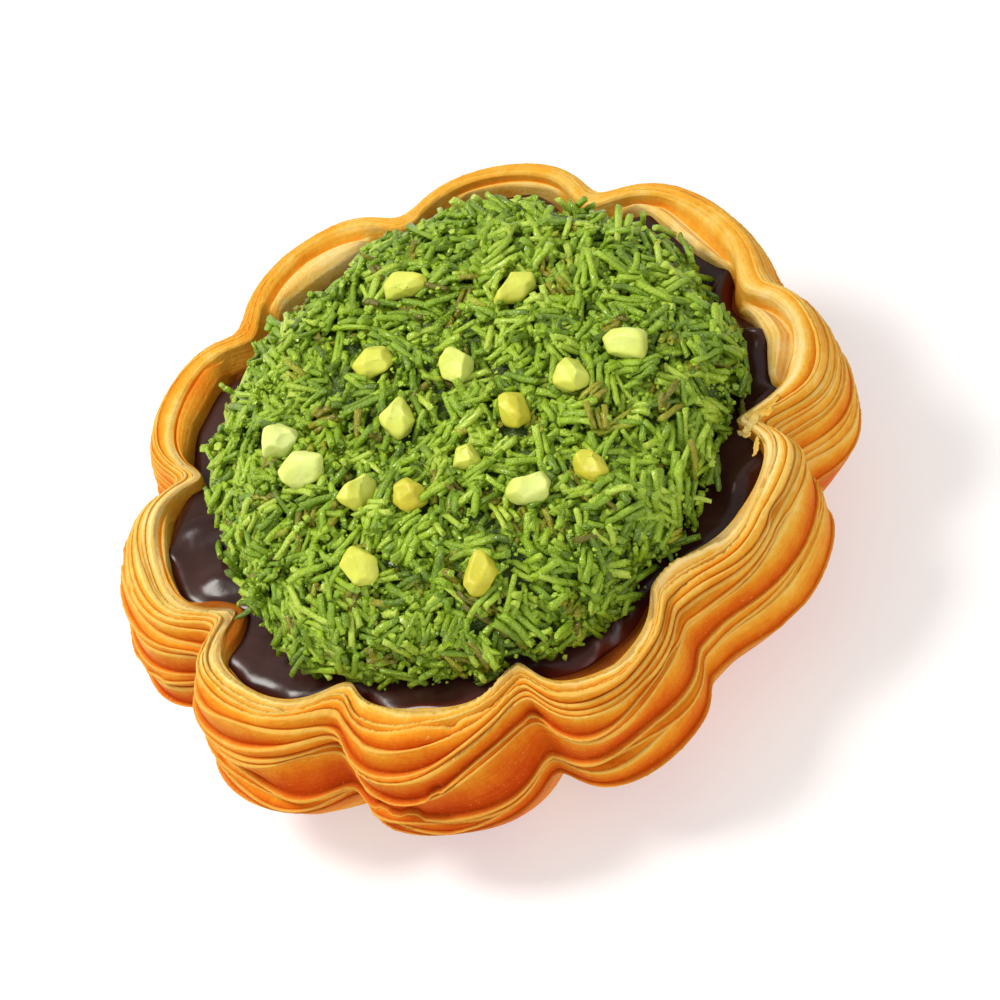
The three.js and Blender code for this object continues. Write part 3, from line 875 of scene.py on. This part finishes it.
# shreds: chopped strands laid in bundles over the core, in several layers, clear of the nuts
shredSettings = {
    "green": dict(bundles=2000, seed=11, lengths=(1.4, 6.4), widths=(0.6, 0.92), tones=(0.25, 0.85)),
    "pale": dict(bundles=820, seed=19, lengths=(1.4, 6.2), widths=(0.58, 0.9), tones=(0.4, 0.95)),
    "toasted": dict(bundles=230, seed=23, lengths=(1.4, 5.6), widths=(0.56, 0.85), tones=(0.1, 0.9)),
    "crumbs": dict(bundles=5200, seed=37, widths=(0.28, 0.72), tones=(0.2, 0.95)),
    "layers": (-1.6, 0.6),
    "crumbLayers": (-1.2, 0.65),
    "loose": 0.16,  # share of the bundles that stray from the sides
    "stray": (1.1, 1.6),  # how far, most often and at most
    "bundleOf": (0.4, 0.3, 0.2, 0.1),  # chances of one to four strands
    "lumps": 1.25,
    "sides": 6,
    "rings": 5,
    "rough": 0.11,
    "crooked": 0.035,
    "ragged": 0.13,
    "heading": (0.7, 0.16),  # spread of the way they lie, bundle by bundle and strand by strand
    "nutRoom": (0.82, 0.35),  # shares of a nut's size and of the width kept clear
    "wallGap": 0.3,
    "overWall": 22.6,  # above this height a strand may pass over the crust
    "poolMiddle": (0.8, 0.85),
}


def nutSpots():
    spots = []
    for node in sorted(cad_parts):
        if node.startswith("pistachio"):
            low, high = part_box(node)
            size = (high - low) / mm
            spots.append((*((low + high) / 2 / mm), *(size / 2)))
    return np.array(spots)


# places spread evenly over the dome, with the way the surface faces there
def heapPlaces(chance, count):
    climb = 1 - np.linspace(1, 0, 900) ** 3
    line = heapPoint(np.full(900, 2.0), climb)
    reach = np.hypot(line[:, 0] - heapSettings["centre"][0], line[:, 1] - heapSettings["centre"][1])
    step = np.hypot(np.diff(reach), np.diff(line[:, 2]))
    shares = np.concatenate([[0], np.cumsum(step * (reach[1:] + reach[:-1]))])
    slopes = np.stack([np.diff(line[:, 2]) / step, -np.diff(reach) / step])
    drawn = chance.uniform(0, shares[-1], count)
    turn = chance.uniform(0, 2 * math.pi, count)
    spots = heapPoint(turn, np.interp(drawn, shares, climb))
    out, up = (np.interp(drawn, (shares[1:] + shares[:-1]) / 2, slope) for slope in slopes)
    across = np.stack([-np.sin(turn), np.cos(turn), 0 * turn], 1)
    normal = np.stack([out * np.cos(turn), out * np.sin(turn), up], 1)
    lumps = lumpy(spots, 0.17, 0.4)
    return spots + normal * (shredSettings["lumps"] * lumps)[:, None], across, normal


def isClear(points, width, nuts):
    flat = points.reshape(len(points), -1, 3)
    onFloor = flat[:, :, 2].min(1) > heapSettings["floor"] + 0.5 * width - 0.1
    nutShare, widthShare = shredSettings["nutRoom"]
    room = nuts[None, None, :, 3:] * nutShare + widthShare * width[:, None, None, None]
    gaps = np.linalg.norm((flat[:, :, None, :] - nuts[None, None, :, :3]) / room, axis=3)
    x = flat[:, :, 0] - shredSettings["poolMiddle"][0]
    y = flat[:, :, 1] - shredSettings["poolMiddle"][1]
    wall = petalRadius(np.degrees(np.arctan2(y, x)), *chocolateSettings["edge"], "chocolateReach")
    low = np.hypot(x, y) < wall - shredSettings["wallGap"]
    inside = (low | (flat[:, :, 2] > shredSettings["overWall"])).all(1)
    return onFloor & (gaps.min((1, 2)) > 1) & inside


def joined(name, places, faces, tones, material):
    mesh = bpy.data.meshes.new(name)
    mesh.from_pydata((places.reshape(-1, 3) * mm).tolist(), [], faces)
    mesh.polygons.foreach_set("use_smooth", [len(face) == 4 for face in faces])
    layer = mesh.attributes.new("tone", "FLOAT", "POINT")
    layer.data.foreach_set("value", np.ascontiguousarray(tones, np.float32))
    mesh.materials.append(material)
    piece = bpy.data.objects.new(name, mesh)
    bpy.context.collection.objects.link(piece)
    return settled(piece, "shreds", "shredded_pastry")


def makeShreds(name, setting, material, nuts):
    chance = np.random.default_rng(setting["seed"])
    sides = shredSettings["sides"]
    rings = shredSettings["rings"]
    spots, across, normal = heapPlaces(chance, setting["bundles"])
    uphill = np.cross(normal, across)
    bundleTurn, strandTurn = shredSettings["heading"]
    way = np.array([noise.noise(Vector(spot) * 0.12) * 5 for spot in spots])
    way = way + chance.normal(0, bundleTurn, len(spots))
    depth = chance.uniform(*shredSettings["layers"], len(spots))
    loose = chance.random(len(spots)) < shredSettings["loose"]
    often, most = shredSettings["stray"]
    strayed = np.minimum(chance.exponential(often, len(spots)), most)
    depth = depth + loose * strayed * (1 - normal[:, 2])
    tone = chance.uniform(*setting["tones"], len(spots))
    many = chance.choice([1, 2, 3, 4], len(spots), p=shredSettings["bundleOf"])
    pick = np.repeat(np.arange(len(spots)), many)
    place = np.concatenate([np.arange(number) - (number - 1) / 2 for number in many])
    total = len(pick)
    way = way[pick] + chance.normal(0, strandTurn, total)
    slope = (chance.standard_t(4, len(spots)) * 0.3 + 0.08)[pick] + chance.normal(0, 0.1, total)
    along = across[pick] * np.cos(way)[:, None] + uphill[pick] * np.sin(way)[:, None]
    along = unit(along + normal[pick] * slope[:, None])
    side = unit(np.cross(normal[pick], along))
    over = np.cross(along, side)
    short, long = setting["lengths"]
    length = short + (long - short) * chance.beta(1.3, 2.9, total)
    width = chance.uniform(*setting["widths"], total)
    middle = spots[pick] + normal[pick] * (depth[pick] + chance.normal(0, 0.15, total))[:, None]
    middle = middle + side * (place * width * 1.02)[:, None] + along * chance.normal(0, 0.6, total)[:, None]
    shares = np.linspace(-0.5, 0.5, rings)
    bend = chance.normal(0, 0.035, total) * length
    drop = chance.normal(0.01, 0.02, total) * length
    crooked = chance.normal(0, shredSettings["crooked"], (2, total, rings))
    spine = middle[:, None] + along[:, None] * (shares[None] * length[:, None])[..., None]
    spine = spine + side[:, None] * (bend[:, None] * 4 * shares**2 + crooked[0])[..., None]
    spine = spine - over[:, None] * (drop[:, None] * 4 * shares**2 + crooked[1])[..., None]
    keep = isClear(spine, width, nuts)
    spine, side, over, along, width, pick = (part[keep] for part in (spine, side, over, along, width, pick))
    total = len(pick)
    turn = 2 * math.pi * np.arange(sides) / sides + 0.5
    reach = width[:, None, None] / 2 * (1 + chance.normal(0, shredSettings["rough"], (total, rings, sides)))
    reach = reach * (1 + chance.normal(0, 0.06, (total, rings, 1)))
    cut = np.zeros((total, rings, sides))
    cut[:, 0] = chance.normal(0, shredSettings["ragged"], (total, sides))
    cut[:, -1] = chance.normal(0, shredSettings["ragged"], (total, sides))
    places = spine[:, :, None] + side[:, None, None] * (reach * np.cos(turn))[..., None]
    places = places + over[:, None, None] * (reach * np.sin(turn) * 0.9)[..., None]
    places = places + along[:, None, None] * cut[..., None]
    starts = rings * sides * np.arange(total)[:, None, None]
    step = np.arange(sides)
    after = (step + 1) % sides
    ring = sides * np.arange(rings - 1)[:, None]
    corners = (ring + step, ring + after, ring + after + sides, ring + step + sides)
    walls = np.stack(corners, -1).reshape(1, -1, 4)
    ends = np.stack([step[::-1], (rings - 1) * sides + step])[None]
    faces = (walls + starts).reshape(-1, 4).tolist() + (ends + starts).reshape(-1, sides).tolist()
    low, high = shredSettings["layers"]
    # painted shade: strands deeper in the layers and lower on the heap get a darker tone
    sunk = 0.15 * (high - depth[pick]) / (high - low) + 0.22 * (1 - eased(spine[:, :, 2].mean(1), 20, 26))
    lean = chance.normal(0, 0.14, total)[:, None] * shares * 2
    tones = (tone[pick] - sunk + chance.normal(0, 0.1, total))[:, None] + lean
    tones = tones + chance.normal(0, 0.05, (total, rings))
    return joined(name, places, faces, np.repeat(np.clip(tones, 0, 1).ravel(), sides), material)


# crumbs: broken ends lying between the strands
def makeCrumbs(name, setting, material, nuts):
    chance = np.random.default_rng(setting["seed"])
    seed = bmesh.new()
    bmesh.ops.create_icosphere(seed, subdivisions=1, radius=0.5)
    corners = np.array([vert.co[:] for vert in seed.verts])
    pattern = np.array([[vert.index for vert in face.verts] for face in seed.faces])
    seed.free()
    spots, _, normal = heapPlaces(chance, setting["bundles"])
    width = chance.uniform(*setting["widths"], len(spots))
    middle = spots + normal * chance.uniform(*shredSettings["crumbLayers"], len(spots))[:, None]
    keep = isClear(middle[:, None], width, nuts)
    middle, width = middle[keep], width[keep]
    stretch = chance.uniform(0.7, 1.35, (len(middle), 1, 3))
    worn = chance.uniform(0.55, 1.25, (len(middle), len(corners), 1))
    places = middle[:, None] + corners[None] * stretch * width[:, None, None] * worn
    faces = (pattern[None] + len(corners) * np.arange(len(middle))[:, None, None]).reshape(-1, 3).tolist()
    tones = np.repeat(chance.uniform(*setting["tones"], len(middle)), len(corners))
    return joined(name, places, faces, tones, material)


# nuts: broken pistachios, each from its solid with corners broken off, chipped hollows and worn edges
nutSettings = {
    "cuts": 5,
    "cutDepth": (0.6, 0.86),
    "grain": 0.3,
    "worn": 1,
    "plump": 0.2,
    "lump": 0.12,
    "pit": 0.05,
    "hollow": 0.7,
    "hollowWidth": 1.7,
    "hollowPlace": 0.36,
    "hollowTone": 0.35,
    # the way each nut lies, in degrees on the plan, how much longer than wide it is,
    # and its tone from deep yellow to pale
    "lies": (
        (-29, 1.7, 0.44),
        (0, 1.25, 0.36),
        (-67, 1.7, 0.62),
        (-26, 1.5, 0.34),
        (37, 1.15, 0.64),
        (-87, 1.45, 0.49),
        (-75, 1.35, 0.19),
        (-67, 1.2, 0.56),
        (-79, 1.4, 0.39),
        (-79, 1.7, 0.16),
        (-14, 1.2, 0.84),
        (-20, 1.2, 0.79),
        (25, 1.35, 0.42),
        (-79, 1.35, 0.1),
        (-46, 1.5, 0.74),
        (-60, 1.25, 0.36),
        (27, 1.65, 0.12),
    ),
}


def nutMaterial():
    material, wire, shader = newMaterial("pistachio")
    cloud = grain(wire, 4, 3, 0.5, 8)
    fleck = grain(wire, 0.8, 4, 0.6, 9)
    tone = mark(wire, "tone") + (cloud - 0.5) * 0.6 + (fleck - 0.5) * 0.2
    colour = tone.ramp(
        (0.0, rgb(194, 178, 42)),
        (0.3, rgb(206, 204, 66)),
        (0.6, rgb(212, 220, 98)),
        (1.0, rgb(222, 232, 142)),
    )
    colour = (fleck.spread(0.68, 0.78) * 0.4).mix(colour, rgb(160, 160, 50))
    wire.feed(shader.inputs["Base Color"], colour)
    wire.feed(shader.inputs["Roughness"], 0.3 + fleck * 0.25)
    setSockets(shader, {"Specular IOR Level": 0.4, "Subsurface Weight": 0.3})
    setSockets(shader, {"Subsurface Radius": (1, 0.9, 0.25), "Subsurface Scale": 0.8 * mm})
    bumped(wire, shader, fleck, 0.08)
    return material


def soften(shape, times):
    every = {"use_axis_x": True, "use_axis_y": True, "use_axis_z": True}
    for _ in range(times):
        bmesh.ops.smooth_vert(shape, verts=shape.verts, factor=0.5, **every)


def makeNut(node, number, material):
    setting = nutSettings
    chance = random.Random(number * 31)
    shape = bmesh.new()
    shape.from_mesh(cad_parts[node].data)
    bmesh.ops.remove_doubles(shape, verts=shape.verts, dist=1e-5)
    low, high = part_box(node)
    middle = (low + high) / 2
    heading, ratio, tone = setting["lies"][number - 1]
    flat = Matrix.Diagonal((ratio**0.5, ratio**-0.5, 1, 1))
    turned = Matrix.Rotation(math.radians(heading), 4, "Z")
    drawn = Matrix.Translation(middle) @ turned @ flat @ turned.inverted() @ Matrix.Translation(-middle)
    bmesh.ops.transform(shape, matrix=drawn, verts=shape.verts)
    for _ in range(setting["cuts"]):
        way = Vector((chance.gauss(0, 1), chance.gauss(0, 1), chance.gauss(0.4, 0.6))).normalized()
        reach = max((vert.co - middle).dot(way) for vert in shape.verts)
        whole = shape.verts[:] + shape.edges[:] + shape.faces[:]
        spot = middle + way * reach * chance.uniform(*setting["cutDepth"])
        bmesh.ops.bisect_plane(shape, geom=whole, dist=1e-6, plane_co=spot, plane_no=way, clear_outer=True)
        bmesh.ops.holes_fill(shape, edges=[side for side in shape.edges if side.is_boundary], sides=0)
    bmesh.ops.triangulate(shape, faces=shape.faces)
    for _ in range(5):
        long = [side for side in shape.edges if side.calc_length() > setting["grain"] * mm]
        bmesh.ops.subdivide_edges(shape, edges=long, cuts=1, use_grid_fill=True)
        bmesh.ops.triangulate(shape, faces=shape.faces)
    soften(shape, setting["worn"])
    shape.normal_update()
    shift = Vector((number * 7.1, number * 3.3, 0))
    way = Vector((chance.uniform(-0.8, 0.8), chance.uniform(-0.9, 0.3), 1)).normalized()
    dent = middle + way * (high - low).length * setting["hollowPlace"]
    moves = []
    tones = []
    for vert in shape.verts:
        spot = vert.co / mm
        lump = noise.noise(spot * 0.6 + shift) * setting["lump"]
        lump = lump + noise.noise(spot * 2 + shift) * setting["pit"]
        off = (vert.co - dent).length / (setting["hollowWidth"] * mm)
        sunk = setting["hollow"] * math.exp(-(off**2))
        moves.append(vert.normal * (lump + setting["plump"] - sunk) * mm)
        tones.append(tone + setting["hollowTone"] * sunk)
    for vert, move in zip(shape.verts, moves):
        vert.co += move
    soften(shape, setting["worn"])
    return settled(finished(f"nut{number:02d}", shape, material, {"tone": tones}), "nut", node)


# floor: a plain pale table top that lights up its own shadow a little, in m
floorSettings = {"size": 1.2, "drop": 0.00005, "glow": 0.42}


def makeFloor():
    material, wire, shader = newMaterial("paleTable")
    cloud = grain(wire, 60, 2)
    wire.feed(shader.inputs["Base Color"], cloud.ramp((0.3, rgb(196, 195, 194)), (0.7, rgb(204, 203, 202))))
    setSockets(shader, {"Roughness": 0.7, "Emission Color": (1, 1, 1, 1)})
    setSockets(shader, {"Emission Strength": floorSettings["glow"]})
    shape = bmesh.new()
    bmesh.ops.create_grid(shape, x_segments=4, y_segments=4, size=floorSettings["size"])
    bmesh.ops.translate(shape, verts=shape.verts, vec=(0, 0, -floorSettings["drop"]))
    floor = finished("tableTop", shape, material)
    print("floor laid")


makeCamera()
makeLights()
makeFloor()
bakedPastry = crustMaterial()
makeCrust(bakedPastry)
makeFlakes(bakedPastry)
makeChocolate(chocolateMaterial())
# painted shade: dark greens for the heap core, which shows only through the gaps between strands
crumbs = ((0.1, rgb(62, 84, 12)), (0.9, rgb(120, 148, 28)))
darkGreens = ((0.0, rgb(86, 114, 16)), (0.35, rgb(124, 158, 26)))
brightGreens = ((0.7, rgb(156, 188, 36)), (1.0, rgb(182, 207, 66)))
pales = ((0.0, rgb(100, 130, 22)), (0.5, rgb(154, 184, 36)), (1.0, rgb(190, 212, 78)))
browns = ((0.0, rgb(104, 100, 18)), (0.5, rgb(150, 146, 26)), (1.0, rgb(168, 182, 44)))
greenShred = shredMaterial("greenShred", darkGreens + brightGreens)
makeHeapCore(shredMaterial("heapCoreShade", crumbs))
nuts = nutSpots()
makeShreds("greenShreds", shredSettings["green"], greenShred, nuts)
makeShreds("paleShreds", shredSettings["pale"], shredMaterial("paleShred", pales), nuts)
makeShreds("toastedShreds", shredSettings["toasted"], shredMaterial("toastedShred", browns), nuts)
makeCrumbs("greenCrumbs", shredSettings["crumbs"], greenShred, nuts)
pistachio = nutMaterial()
for number, node in enumerate(sorted(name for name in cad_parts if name.startswith("pistachio")), 1):
    makeNut(node, number, pistachio)
